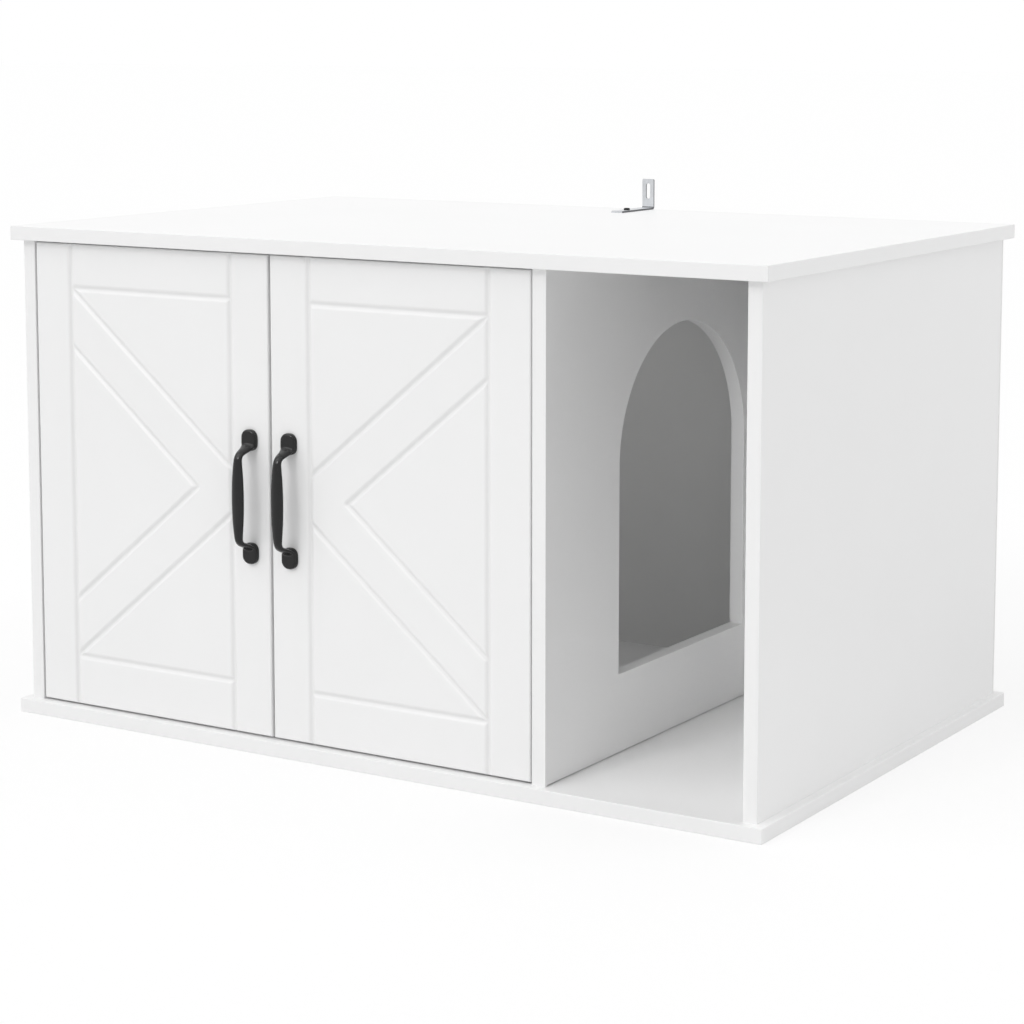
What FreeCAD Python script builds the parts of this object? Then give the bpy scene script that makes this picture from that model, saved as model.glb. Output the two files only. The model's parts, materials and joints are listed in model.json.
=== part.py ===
import FreeCAD, Part
import math
import os

# A white flat-pack cabinet for a cat: a closed compartment behind two doors, and an open bay at the right
# with an arched doorway into it. X runs to the right, Y to the back and Z up. The origin is the centre of
# the base panel's underside. All sizes are in millimetres.

# The carcass
width = 900.0
depth = 590.0
height = 530.0
board = 15.0
overhang = 10.0
bay_width = 212.0
back_board = 3.0
edge_round = 0.8

# The arched doorway in the divider
arch_width = 270.0
arch_front = 141.0
arch_sill = 81.0
arch_head = 74.5

# The doors and their routed grooves
door_gap = 2.0
meeting_gap = 3.0
door_round = 2.0
stile = 48.0
top_rail = 46.5
bottom_rail = 53.0
groove_width = 9.0
groove_depth = 2.0
chevron_tip = 46.6
chevron_band = 47.0

# The bow handles: two pads on the door, joined by a curved grip
handle_length = 139.0
handle_inset = 23.3
pad_width = 18.0
pad_height = 23.0
pad_thick = 5.0
pad_round = 8.0
pad_neck_round = 5.0
pad_edge_round = 2.0
grip_reach = 22.0
grip_width = 13.5
grip_thick = 8.0

# The hinges: a cup let into the door, a pin across it, and an arm on a plate
hinge_from_end = 100.0
cup_radius = 17.5
cup_edge = 4.0
cup_web = 2.7
cup_wall = 0.8
flange_thick = 1.2
flange_rim = 1.0
ear_width = 12.0
ear_round = 4.0
cup_screw_spacing = 48.0
cup_screw_offset = 6.0
pin_radius = 1.25
pin_in_cup = 5.5
pin_play = 0.06
eye_wall = 1.2
eye_clear = 0.5
lug_half = 2.4
lug_clear = 0.4
arm_thick = 2.5
arm_width = 14.0
arm_clear = 2.1
arm_stand_off = 6.5
arm_screw_set = 12.0
plate_thick = 2.0
plate_margin = 7.0
plate_length = 44.0
plate_round = 4.0
plate_screw_set = 37.0
plate_screw_spacing = 32.0

# The wall bracket on the back edge of the top
bracket_width = 15.0
bracket_thick = 2.0
bracket_rise = 35.0
bracket_run = 75.0
bracket_bend = 1.5
bracket_round = 1.5
slot_width = 5.4
slot_length = 18.0
slot_top = 5.0
bracket_screw_set = 23.5

# The magnetic catch under the top, and the strikes on the doors
catch_wall = 3.5
catch_depth = 14.0
catch_tab_depth = 14.0
catch_tab_thick = 3.0
catch_gap = 0.3
catch_screw_spacing = 26.0
magnet_width = 14.0
magnet_height = 9.0
magnet_depth = 8.0
strike_inset = 1.5
strike_edge = 4.0
strike_width = 18.0
strike_height = 14.0
strike_thick = 1.6

# The fasteners
hole_play = 0.1
screw_head_radius = 3.3
screw_shank_radius = 1.7
screw_sink = 1.8
screw_web = 4.0
pan_head_radius = 3.6
pan_head_height = 2.2
machine_shank_radius = 2.0
handle_screw_web = 1.0
cam_radius = 7.4
cam_web = 2.3
cam_drop = 24.0
cam_cap_rim = 1.4
cam_cap_thick = 0.8
bolt_head_radius = 3.3
bolt_head_height = 4.0
bolt_neck_radius = 2.5
bolt_web = 4.0
dowel_radius = 4.0
dowel_bite = 20.0
dowel_web = 5.0
base_screw_head_radius = 4.8
base_screw_shank_radius = 3.2
base_screw_sink = 4.0
base_screw_recess = 0.5
base_screw_bite = 35.0
nail_head_radius = 2.0
nail_head_height = 0.6
nail_shank_radius = 0.7
nail_bite = 17.0

# Shares: where a row of fasteners or a section of the handle falls along the size it follows
cam_shares = (0.12, 0.88)
top_dowel_shares = (0.3, 0.7)
base_screw_shares = (0.12, 0.88)
base_dowel_shares = (0.3, 0.7)
nail_shares = (0.08, 0.36, 0.64, 0.92)
recess_arm_share = 0.55
recess_width_share = 0.14
recess_depth_share = 0.5
pan_crown_share = 0.6
tip_share = 1.2
round_limit_share = 0.48
square_share = 0.01
grip_sections_shares = (
    (0.775, 0.04, 0.80, 1.08),
    (0.735, 0.36, 0.66, 0.92),
    (0.69, 0.65, 0.62, 0.86),
    (0.625, 0.865, 0.64, 0.84),
    (0.53, 0.96, 0.72, 0.85),
    (0.29, 0.995, 0.93, 0.96),
    (0.0, 1.0, 1.0, 1.0),
)

# How far a cutter runs past the face that it opens
overrun = 1.0

V = FreeCAD.Vector
ORIGIN = V(0, 0, 0)
X = V(1, 0, 0)
Y = V(0, 1, 0)
Z = V(0, 0, 1)

# Planes of the carcass
side_out = width / 2 - overhang
side_in = side_out - board
front = -depth / 2 + overhang
rear = depth / 2 - overhang
panel_low = board
panel_high = height - board
panel_depth = rear - front
divider_right = side_in - bay_width
divider_left = divider_right - board

# Planes of a door. A door and what belongs to it is drawn once, with x measured from the inner face of the
# upright that carries it, y inwards from the front of the uprights, and then placed on either side.
opening_width = divider_left + side_in
door_width = (opening_width - 2 * door_gap - meeting_gap) / 2
door_free = door_gap + door_width
door_low = panel_low + door_gap
door_high = panel_high - door_gap
door_middle = (door_low + door_high) / 2
hinge_heights = {"upper": door_high - hinge_from_end, "lower": door_low + hinge_from_end}

# Places in a hinge
cup_x = door_gap + cup_edge + cup_radius
pin_x = door_gap + cup_edge + pin_in_cup
eye_radius = pin_radius + pin_play + eye_wall
pin_y = cup_web + cup_wall + eye_radius + eye_clear
pin_half = math.sqrt((cup_radius - cup_wall) ** 2 - (cup_radius - pin_in_cup + pin_radius) ** 2)
leg_x = pin_x + (board - pin_y) + flange_thick + arm_clear
return_y = board + flange_thick + arm_stand_off
plate_height = plate_screw_spacing + 2 * plate_margin
plate_front_y = board + plate_screw_set - plate_length / 2
plate_rear_y = plate_front_y + plate_length
arm_screw_y = plate_rear_y - arm_screw_set

# Places of the handle, its screws and the catch
handle_x = door_free - handle_inset
pad_centre = (handle_length - pad_height) / 2
strike_middle = door_high - strike_inset - strike_height / 2
catch_low = strike_middle - strike_height / 2
catch_front = front + board + strike_thick + catch_gap
catch_x = -side_in + door_free + meeting_gap / 2
magnet_reach = meeting_gap / 2 + strike_edge + strike_width / 2
catch_width = 2 * (magnet_reach + magnet_width / 2 + catch_wall)


def box(low, high):
    size = high.sub(low)
    return Part.makeBox(size.x, size.y, size.z, low)


def rod(start, end, radius):
    axis = end.sub(start)
    return Part.makeCylinder(radius, axis.Length, start, axis)


def edges_along(shape, axis):
    """The straight edges that run along an axis."""
    found = []
    for edge in shape.Edges:
        if isinstance(edge.Curve, Part.Line):
            direction = edge.tangentAt(edge.FirstParameter)
            if direction.cross(axis).Length < square_share:
                found.append(edge)
    return found


def turned(outline, base, axis):
    """A turned solid from (radius, distance) points, standing at base and running along axis."""
    points = [V(radius, 0, along) for radius, along in outline]
    face = Part.Face(Part.makePolygon(points + points[:1]))
    solid = face.revolve(ORIGIN, Z, 360)
    solid.Placement = FreeCAD.Placement(base, FreeCAD.Rotation(Z, axis))
    return solid


def cross_recess(head_radius, head_height, base, axis):
    """The cutter for a cross recess, sunk along axis from base."""
    arm = head_radius * recess_arm_share
    half = head_radius * recess_width_share
    deep = head_height * recess_depth_share
    bars = [
        box(V(-arm, -half, -overrun), V(arm, half, deep)),
        box(V(-half, -arm, -overrun), V(half, arm, deep)),
    ]
    cutter = bars[0].fuse(bars[1])
    cutter.Placement = FreeCAD.Placement(base, FreeCAD.Rotation(Z, axis))
    return cutter


def countersunk(base, axis, length, play=0):
    """A countersunk wood screw whose head is flush at base. With play, it is the hole for that screw."""
    head = screw_head_radius + play
    shank = screw_shank_radius + play
    point = screw_shank_radius * tip_share
    end = length + play
    outline = [(0, 0), (head, 0), (shank, screw_sink + play), (shank, end - point), (0, end)]
    body = turned(outline, base, axis)
    if play:
        return body
    return body.cut(cross_recess(screw_head_radius, screw_sink, base, axis))


def pan_head(base, axis, shank, length):
    """A pan-head screw: its head stands behind base, its shank runs along axis."""
    crown = pan_head_height * pan_crown_share
    outline = [
        (0, -pan_head_height),
        (pan_head_radius * pan_crown_share, -pan_head_height),
        (pan_head_radius, -pan_head_height + crown),
        (pan_head_radius, 0),
        (shank, 0),
        (shank, length),
        (0, length),
    ]
    body = turned(outline, base, axis)
    top = base.sub(V(axis).multiply(pan_head_height))
    return body.cut(cross_recess(pan_head_radius, pan_head_height, top, axis))


def shank_hole(base, axis, shank, length):
    return rod(base, base.add(V(axis).multiply(length)), shank + hole_play)


def cut_all(shape, cutters):
    return shape.cut(Part.makeCompound(cutters)) if cutters else shape


def on_side(shape, side):
    """Places what was drawn for a door: as drawn on the left side panel, mirrored on the divider."""
    placed = shape.copy()
    edge = -side_in
    if side == "right":
        placed = placed.mirror(ORIGIN, X)
        edge = divider_left
    placed.translate(V(edge, front, 0))
    return placed


def raised(shape, z):
    moved = shape.copy()
    moved.translate(V(0, 0, z))
    return moved


def save(name, solids):
    shape = solids[0] if len(solids) == 1 else Part.makeCompound(solids)
    shape.exportStep(os.path.join("parts", name + ".step"))
    print(name, len(shape.Solids), round(shape.Volume, 1), shape.isValid())


# The uprights: their middle plane, the face that holds the cam locks, and the way out of that face
uprights = {
    "left_side_panel": (-side_out + board / 2, -side_in, V(1, 0, 0)),
    "divider_panel": (divider_left + board / 2, divider_left, V(-1, 0, 0)),
    "right_side_panel": (side_out - board / 2, side_in, V(-1, 0, 0)),
}


def along_depth(share):
    return front + panel_depth * share


# Fasteners of the carcass
def cam_places():
    for middle, face, outward in uprights.values():
        for share in cam_shares:
            yield middle, face, outward, along_depth(share), panel_high - cam_drop


def cam_drum(face, outward, y, z, radius, deep):
    start = V(face, y, z)
    return rod(start, start.sub(V(outward).multiply(deep)), radius)


def bolt_way(middle, y, z):
    """The hole for a cam bolt, from the cam's middle up through the upright's top edge."""
    low = V(middle, y, z - bolt_head_height / 2 - hole_play)
    return rod(low, V(middle, y, panel_high), bolt_head_radius + hole_play)


def cam_locks():
    locks = []
    deep = board - cam_web
    for middle, face, outward, y, z in cam_places():
        drum = cam_drum(face, outward, y, z, cam_radius, deep)
        drum = drum.cut(bolt_way(middle, y, z))
        inward = V(outward).multiply(-1)
        locks.append(drum.cut(cross_recess(cam_radius, bolt_head_height, V(face, y, z), inward)))
    return locks


def cam_caps():
    caps = []
    for middle, face, outward, y, z in cam_places():
        start = V(face, y, z)
        cap = rod(start, start.add(V(outward).multiply(cam_cap_thick)), cam_radius + cam_cap_rim)
        caps.append(cap)
    return caps


def cam_bolts():
    bolts = []
    bite = board - bolt_web
    neck = bite + cam_drop - bolt_head_height / 2
    outline = [
        (0, 0),
        (bolt_neck_radius, 0),
        (bolt_neck_radius, neck),
        (bolt_head_radius, neck),
        (bolt_head_radius, neck + bolt_head_height),
        (0, neck + bolt_head_height),
    ]
    for middle, face, outward, y, z in cam_places():
        bolts.append(turned(outline, V(middle, y, panel_high + bite), V(0, 0, -1)))
    return bolts


def dowel_places():
    """The middle and the two ends of each dowel."""
    sunk = board - dowel_web
    for middle, face, outward in uprights.values():
        for share in top_dowel_shares:
            yield V(middle, along_depth(share), panel_high - dowel_bite), dowel_bite + sunk
        for share in base_dowel_shares:
            yield V(middle, along_depth(share), panel_low - sunk), dowel_bite + sunk


def dowels(play=0):
    pegs = []
    for low, length in dowel_places():
        start = low.sub(V(0, 0, play))
        pegs.append(rod(start, start.add(V(0, 0, length + 2 * play)), dowel_radius + play))
    return pegs


def base_screws(play=0):
    """Screws through the base into the uprights. With play, they are the holes for them."""
    head = base_screw_head_radius + play
    shank = base_screw_shank_radius + play
    end = panel_low + base_screw_bite - base_screw_recess + play
    point = base_screw_shank_radius * tip_share
    mouth = -base_screw_recess if play else 0
    outline = [
        (0, mouth),
        (head, mouth),
        (head, 0),
        (shank, base_screw_sink),
        (shank, end - point),
        (0, end),
    ]
    screws = []
    for middle, face, outward in uprights.values():
        for share in base_screw_shares:
            base = V(middle, along_depth(share), base_screw_recess)
            screw = turned(outline, base, Z)
            if not play:
                screw = screw.cut(cross_recess(head, base_screw_sink, base, Z))
            screws.append(screw)
    return screws


def nails(play=0):
    """Nails through the back panel into the uprights. With play, they are the holes for them."""
    head = nail_head_radius
    shank = nail_shank_radius + play
    length = back_board + nail_bite + play
    point = nail_shank_radius * tip_share
    outline = [(0, 0), (shank, 0), (shank, length - point), (0, length)]
    if not play:
        crown = [(0, -nail_head_height), (head, -nail_head_height), (head, 0)]
        outline = crown + outline[1:]
    pins = []
    for middle, face, outward in uprights.values():
        for share in nail_shares:
            base = V(middle, rear + back_board, panel_low + (panel_high - panel_low) * share)
            pins.append(turned(outline, base, V(0, -1, 0)))
    return pins


def carcass_holes():
    """Every hole that the carcass fasteners need, for the boards to be cut by."""
    drums = []
    for middle, face, outward, y, z in cam_places():
        drums.append(cam_drum(face, outward, y, z, cam_radius + hole_play, board - cam_web + hole_play))
        drums.append(bolt_way(middle, y, z))
    bolt_holes = []
    for middle, face, outward, y, z in cam_places():
        start = V(middle, y, panel_high)
        bolt_holes.append(shank_hole(start, Z, bolt_neck_radius, board - bolt_web + hole_play))
    return drums + bolt_holes + dowels(hole_play) + base_screws(hole_play) + nails(hole_play)


# Boards
def flat_board(low, high, axis=None):
    """A board, with all its edges eased, or only those that run along an axis."""
    body = box(low, high)
    edges = edges_along(body, axis) if axis else body.Edges
    return body.makeFillet(edge_round, edges)


def upright(face_low, face_high):
    return flat_board(V(face_low, front, panel_low), V(face_high, rear, panel_high), Z)


def arch_cutter():
    radius = arch_width / 2
    middle = front + arch_front + radius
    spring = panel_high - arch_head - radius
    low = V(divider_left - overrun, middle - radius, panel_low + arch_sill)
    high = V(divider_right + overrun, middle + radius, spring)
    start = V(divider_left - overrun, middle, spring)
    return box(low, high).fuse(rod(start, V(divider_right + overrun, middle, spring), radius))


# The doors, drawn for one side
def groove(start, end):
    """The cutter for a V groove in a door's front, between two (x, z) places."""
    line = V(end[0] - start[0], 0, end[1] - start[1])
    across = V(line.z, 0, -line.x).normalize().multiply(groove_width)
    base = V(start[0], 0, start[1])
    lip = V(0, -groove_depth, 0)
    corners = [base.add(across).add(lip), base.sub(across).add(lip), base.add(V(0, groove_depth, 0))]
    return Part.Face(Part.makePolygon(corners + corners[:1])).extrude(line)


def door_grooves():
    """Two full-height grooves, two rails between them, and the chevron that points to the handle."""
    hinge_line = door_gap + stile
    free_line = door_free - stile
    low = door_low + bottom_rail
    high = door_high - top_rail
    middle = (low + high) / 2
    field = free_line - hinge_line
    cutters = []
    for x in (hinge_line, free_line):
        cutters.append(groove((x, door_low - overrun), (x, door_high + overrun)))
    for z in (low, high):
        cutters.append(groove((hinge_line, z), (free_line, z)))
    drop = (high - low - chevron_tip) / 2
    slope = drop / field
    band_drop = chevron_band * math.hypot(drop, field) / field
    apex = hinge_line + ((high - low) / 2 - band_drop) / slope
    past = groove_width / slope
    for sign, corner in ((1, high), (-1, low)):
        cutters.append(groove((hinge_line, corner), (free_line, middle + sign * chevron_tip / 2)))
        inner = corner - sign * band_drop
        line = groove((hinge_line, inner), (apex + past, middle - sign * past * slope))
        far = middle + sign * door_width
        keep = box(V(0, -board, min(middle, far)), V(door_free, board, max(middle, far)))
        cutters.append(line.common(keep))
    return cutters


def door_blank():
    body = box(V(door_gap, 0, door_low), V(door_free, board, door_high))
    return body.makeFillet(door_round, [edge for edge in body.Edges if edge.BoundBox.YMax < board / 2])


# Hinge pieces, drawn at height zero
def cup_screw_places():
    x = cup_x + cup_screw_offset
    return [V(x, board + flange_thick, sign * cup_screw_spacing / 2) for sign in (1, -1)]


def plate_screw_places():
    y = board + plate_screw_set
    return [V(plate_thick, y, sign * plate_screw_spacing / 2) for sign in (1, -1)]


def cup_screw_length():
    return flange_thick + board - screw_web


def plate_screw_length():
    return plate_thick + board - screw_web


def hinge_pin():
    return rod(V(pin_x, pin_y, -pin_half), V(pin_x, pin_y, pin_half), pin_radius)


def hinge_cup():
    mouth = board + flange_thick
    shell = rod(V(cup_x, cup_web, 0), V(cup_x, mouth, 0), cup_radius)
    rim = rod(V(cup_x, board, 0), V(cup_x, mouth, 0), cup_radius + flange_rim)
    reach = cup_screw_spacing / 2 + ear_width / 2
    ear_x = cup_x + cup_screw_offset
    ears = box(V(ear_x - ear_width / 2, board, -reach), V(ear_x + ear_width / 2, mouth, reach))
    ears = ears.makeFillet(min(ear_round, ear_width * round_limit_share), edges_along(ears, Y))
    hollow = rod(V(cup_x, cup_web + cup_wall, 0), V(cup_x, mouth, 0), cup_radius - cup_wall)
    cup = shell.fuse([rim, ears]).cut(hollow)
    inside = arm_width / 2 + lug_clear
    within = rod(V(cup_x, cup_web, 0), V(cup_x, mouth, 0), cup_radius - cup_wall / 2)
    for sign in (1, -1):
        ends = sorted((sign * inside, sign * cup_radius))
        low = V(pin_x - lug_half, cup_web + cup_wall / 2, ends[0])
        high = V(pin_x + lug_half, pin_y + lug_half, ends[1])
        cup = cup.fuse(box(low, high).common(within))
    cup = cup.cut(hinge_pin())
    holes = [countersunk(place, V(0, -1, 0), cup_screw_length(), hole_play) for place in cup_screw_places()]
    return cut_all(cup, holes).removeSplitter()


def arm_path():
    """One face of the arm's strip, from the pin out of the cup and back along the upright."""
    low = pin_y + arm_thick / 2
    return [
        V(pin_x, low, 0),
        V(leg_x, low, 0),
        V(leg_x, return_y, 0),
        V(plate_thick, return_y, 0),
        V(plate_thick, plate_rear_y, 0),
    ]


def hinge_arm():
    strip = Part.makePolygon(arm_path()).makeOffset2D(arm_thick, 0, True, True)
    body = strip.extrude(V(0, 0, arm_width))
    body.translate(V(0, 0, -arm_width / 2))
    half = arm_width / 2
    eye = rod(V(pin_x, pin_y, -half), V(pin_x, pin_y, half), eye_radius)
    body = body.fuse(eye)
    bore = rod(V(pin_x, pin_y, -half - overrun), V(pin_x, pin_y, half + overrun), pin_radius + pin_play)
    start = V(plate_thick, arm_screw_y, 0)
    hole = shank_hole(start, X, machine_shank_radius, arm_thick)
    return body.cut(bore).cut(hole).removeSplitter()


def hinge_plate():
    half = plate_height / 2
    body = box(V(0, plate_front_y, -half), V(plate_thick, plate_rear_y, half))
    body = body.makeFillet(plate_round, edges_along(body, X))
    into = V(-1, 0, 0)
    holes = [countersunk(place, into, plate_screw_length(), hole_play) for place in plate_screw_places()]
    holes.append(shank_hole(V(0, arm_screw_y, 0), X, machine_shank_radius, plate_thick))
    return cut_all(body, holes)


def hinge_screws(places, axis, length):
    return [countersunk(place, axis, length) for place in places]


def arm_screw():
    return pan_head(V(plate_thick + arm_thick, arm_screw_y, 0), V(-1, 0, 0), machine_shank_radius,
                    plate_thick + arm_thick)


# The handle, drawn for one side
def handle_pad(sign):
    """A rounded pad at one end of the handle: round at its outer end, tighter where the neck leaves it."""
    outer = door_middle + sign * handle_length / 2
    inner = outer - sign * pad_height
    low = V(handle_x - pad_width / 2, -pad_thick, min(outer, inner))
    high = V(handle_x + pad_width / 2, 0, max(outer, inner))
    body = box(low, high)
    ends = [edge for edge in edges_along(body, Y) if abs(edge.BoundBox.Center.z - outer) < pad_height / 2]
    body = body.makeFillet(min(pad_round, pad_width * round_limit_share), ends)
    necks = [edge for edge in edges_along(body, Y) if abs(edge.BoundBox.Center.z - inner) < pad_edge_round]
    body = body.makeFillet(min(pad_neck_round, pad_width * round_limit_share), necks)
    face_edges = [edge for edge in body.Edges if edge.BoundBox.YMax < -pad_thick / 2]
    return body.makeFillet(pad_edge_round, face_edges)


def handle_grip():
    """The bow: a loft through ellipses that stand square to its middle line."""
    half = handle_length / 2
    upper = [(row[0] * half, row[1] * grip_reach, row[2], row[3]) for row in grip_sections_shares]
    rows = upper + [(-z, reach, wide, thick) for z, reach, wide, thick in reversed(upper[:-1])]
    wires = []
    for index, (z, reach, wide, thick) in enumerate(rows):
        before = rows[max(index - 1, 0)]
        after = rows[min(index + 1, len(rows) - 1)]
        line = V(0, before[1] - after[1], after[0] - before[0]).normalize()
        centre = V(handle_x, -reach, door_middle + z)
        ellipse = Part.Ellipse(ORIGIN, grip_width * wide / 2, grip_thick * thick / 2)
        wire = Part.Wire(ellipse.toShape())
        wire.Placement = FreeCAD.Placement(centre, FreeCAD.Rotation(X, V(0, 0, 0), line, "ZXY"))
        wires.append(wire)
    return Part.makeLoft(wires, True, False)


def handle_screw_places():
    return [V(handle_x, board, door_middle + sign * pad_centre) for sign in (1, -1)]


def handle_screw_length():
    return board + pad_thick - handle_screw_web


def handle():
    body = handle_grip().fuse([handle_pad(1), handle_pad(-1)])
    wall = box(V(0, 0, 0), V(door_free, board, height))
    body = body.cut(wall)
    toward = V(0, -1, 0)
    holes = [shank_hole(place, toward, machine_shank_radius, handle_screw_length() + hole_play)
             for place in handle_screw_places()]
    return cut_all(body, holes).removeSplitter()


# The strike on a door, drawn for one side
def strike_place():
    x = door_free - strike_edge - strike_width / 2
    return V(x, board + strike_thick, strike_middle)


def strike_screw_length():
    return strike_thick + board - screw_web


def strike(place):
    low = V(place.x - strike_width / 2, board, place.z - strike_height / 2)
    high = V(place.x + strike_width / 2, board + strike_thick, place.z + strike_height / 2)
    hole = countersunk(place, V(0, -1, 0), strike_screw_length(), hole_play)
    return box(low, high).cut(hole)


# The door with every hole that its hardware needs
def door():
    body = cut_all(door_blank(), door_grooves())
    toward = V(0, -1, 0)
    holes = [countersunk(strike_place(), toward, strike_screw_length(), hole_play)]
    for place in handle_screw_places():
        holes.append(shank_hole(place, toward, machine_shank_radius, board))
    for z in hinge_heights.values():
        pocket = rod(V(cup_x, cup_web - hole_play, z), V(cup_x, board, z), cup_radius + hole_play)
        holes.append(pocket)
        for place in cup_screw_places():
            holes.append(raised(countersunk(place, toward, cup_screw_length(), hole_play), z))
    return cut_all(body, holes)


def plate_holes(side):
    """The holes in an upright for the hinge plates that it carries."""
    holes = []
    for z in hinge_heights.values():
        for place in plate_screw_places():
            hole = countersunk(place, V(-1, 0, 0), plate_screw_length(), hole_play)
            holes.append(on_side(raised(hole, z), side))
    return holes


# The wall bracket
def bracket_screw_place():
    return V(0, depth / 2 - bracket_run + bracket_screw_set, height + bracket_thick)


def bracket_screw_length():
    return bracket_thick + board - screw_web


def wall_bracket():
    back = depth / 2
    half = bracket_width / 2
    foot = box(V(-half, back - bracket_run, height), V(half, back, height + bracket_thick))
    leg = box(V(-half, back - bracket_thick, height), V(half, back, height + bracket_rise))
    body = foot.fuse(leg).removeSplitter()
    corner = [edge for edge in edges_along(body, X) if edge.BoundBox.YMin > back - bracket_thick / 2
              and edge.BoundBox.ZMax < height + bracket_thick / 2]
    body = body.makeFillet(bracket_thick + bracket_bend, corner)
    inner = [edge for edge in edges_along(body, X)
             if abs(edge.BoundBox.YMin - back + bracket_thick) < bracket_thick / 2
             and abs(edge.BoundBox.ZMin - height - bracket_thick) < bracket_thick / 2]
    body = body.makeFillet(bracket_bend, inner)
    tips = [edge for edge in edges_along(body, Y) if edge.BoundBox.ZMin > height + bracket_rise / 2]
    tips += [edge for edge in edges_along(body, Z) if edge.BoundBox.YMax < back - bracket_run / 2]
    body = body.makeFillet(bracket_round, tips)
    high = height + bracket_rise - slot_top - slot_width / 2
    low = high - slot_length + slot_width
    before = back - bracket_thick - overrun
    after = back + overrun
    slot = box(V(-slot_width / 2, before, low), V(slot_width / 2, after, high))
    for z in (low, high):
        slot = slot.fuse(rod(V(0, before, z), V(0, after, z), slot_width / 2))
    hole = shank_hole(bracket_screw_place(), V(0, 0, -1), screw_shank_radius, bracket_thick)
    return body.cut(slot).cut(hole).removeSplitter()


# The catch under the top
def catch_screw_places():
    y = catch_front + catch_depth + catch_tab_depth / 2
    z = panel_high - catch_tab_thick
    return [V(catch_x + sign * catch_screw_spacing / 2, y, z) for sign in (1, -1)]


def catch_screw_length():
    return catch_tab_thick + board - screw_web


def magnets():
    bars = []
    for sign in (1, -1):
        x = catch_x + sign * magnet_reach
        low = V(x - magnet_width / 2, catch_front, strike_middle - magnet_height / 2)
        high = V(x + magnet_width / 2, catch_front + magnet_depth, strike_middle + magnet_height / 2)
        bars.append(box(low, high))
    return bars


def door_catch():
    half = catch_width / 2
    rear_face = catch_front + catch_depth
    block = box(V(catch_x - half, catch_front, catch_low), V(catch_x + half, rear_face, panel_high))
    block = block.makeFillet(edge_round, edges_along(block, Z))
    tab_low = V(catch_x - half, rear_face - catch_depth / 2, panel_high - catch_tab_thick)
    tab = box(tab_low, V(catch_x + half, rear_face + catch_tab_depth, panel_high))
    holes = [countersunk(place, Z, catch_screw_length(), hole_play) for place in catch_screw_places()]
    return cut_all(block.fuse(tab), magnets() + holes).removeSplitter()


def build_carcass():
    holes = carcass_holes()
    catch_holes = [countersunk(place, Z, catch_screw_length(), hole_play) for place in catch_screw_places()]
    bracket_hole = shank_hole(bracket_screw_place(), V(0, 0, -1), screw_shank_radius,
                              bracket_screw_length() + hole_play)
    top = flat_board(V(-width / 2, -depth / 2, panel_high), V(width / 2, depth / 2, height))
    save("top_panel", [cut_all(top, holes + catch_holes + [bracket_hole])])
    base = flat_board(V(-width / 2, -depth / 2, 0), V(width / 2, depth / 2, panel_low))
    save("base_panel", [cut_all(base, holes)])
    save("left_side_panel", [cut_all(upright(-side_out, -side_in), holes + plate_holes("left"))])
    save("right_side_panel", [cut_all(upright(side_in, side_out), holes)])
    divider = upright(divider_left, divider_right).cut(arch_cutter())
    save("divider_panel", [cut_all(divider, holes + plate_holes("right"))])
    back = box(V(-side_out, rear, panel_low), V(side_out, rear + back_board, panel_high))
    save("back_panel", [cut_all(back, holes)])
    save("cam_locks", cam_locks())
    save("cam_caps", cam_caps())
    save("cam_bolts", cam_bolts())
    save("wood_dowels", dowels())
    save("base_screws", base_screws())
    save("back_panel_nails", nails())


def build_door(side):
    save(side + "_door", [on_side(door(), side)])
    save(side + "_handle", [on_side(handle(), side)])
    toward = V(0, -1, 0)
    screws = [pan_head(place, toward, machine_shank_radius, handle_screw_length())
              for place in handle_screw_places()]
    save(side + "_handle_screws", [on_side(screw, side) for screw in screws])
    save(side + "_strike", [on_side(strike(strike_place()), side)])
    strike_screw = countersunk(strike_place(), toward, strike_screw_length())
    save(side + "_strike_screw", [on_side(strike_screw, side)])


def build_hinges(side):
    toward = V(0, -1, 0)
    cup_screws = []
    plate_screws = []
    arm_screws = []
    for level, z in hinge_heights.items():
        name = side + "_" + level
        save(name + "_hinge_cup", [on_side(raised(hinge_cup(), z), side)])
        save(name + "_hinge_pin", [on_side(raised(hinge_pin(), z), side)])
        save(name + "_hinge_arm", [on_side(raised(hinge_arm(), z), side)])
        save(name + "_hinge_plate", [on_side(raised(hinge_plate(), z), side)])
        for screw in hinge_screws(cup_screw_places(), toward, cup_screw_length()):
            cup_screws.append(on_side(raised(screw, z), side))
        for screw in hinge_screws(plate_screw_places(), V(-1, 0, 0), plate_screw_length()):
            plate_screws.append(on_side(raised(screw, z), side))
        arm_screws.append(on_side(raised(arm_screw(), z), side))
    save(side + "_hinge_cup_screws", cup_screws)
    save(side + "_hinge_plate_screws", plate_screws)
    save(side + "_hinge_arm_screws", arm_screws)


def build_fittings():
    save("wall_bracket", [wall_bracket()])
    screw = pan_head(bracket_screw_place(), V(0, 0, -1), screw_shank_radius, bracket_screw_length())
    save("wall_bracket_screw", [screw])
    save("door_catch", [door_catch()])
    save("catch_magnets", magnets())
    catch_screws = [countersunk(place, Z, catch_screw_length()) for place in catch_screw_places()]
    save("catch_screws", catch_screws)


os.makedirs("parts", exist_ok=True)
build_carcass()
for door_side in ("left", "right"):
    build_door(door_side)
    build_hinges(door_side)
build_fittings()
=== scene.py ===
# %% [markdown]
# # A white cat house, dressed for its picture
# The real thing is a flat-pack cabinet: white boards, two doors with routed grooves, black bow handles and an
# open bay with an arched doorway. The measured solids come in as a fixed frame. This lesson gives every
# surface its finish and models again, softer and finer, the pieces that the eye rests on.

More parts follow.
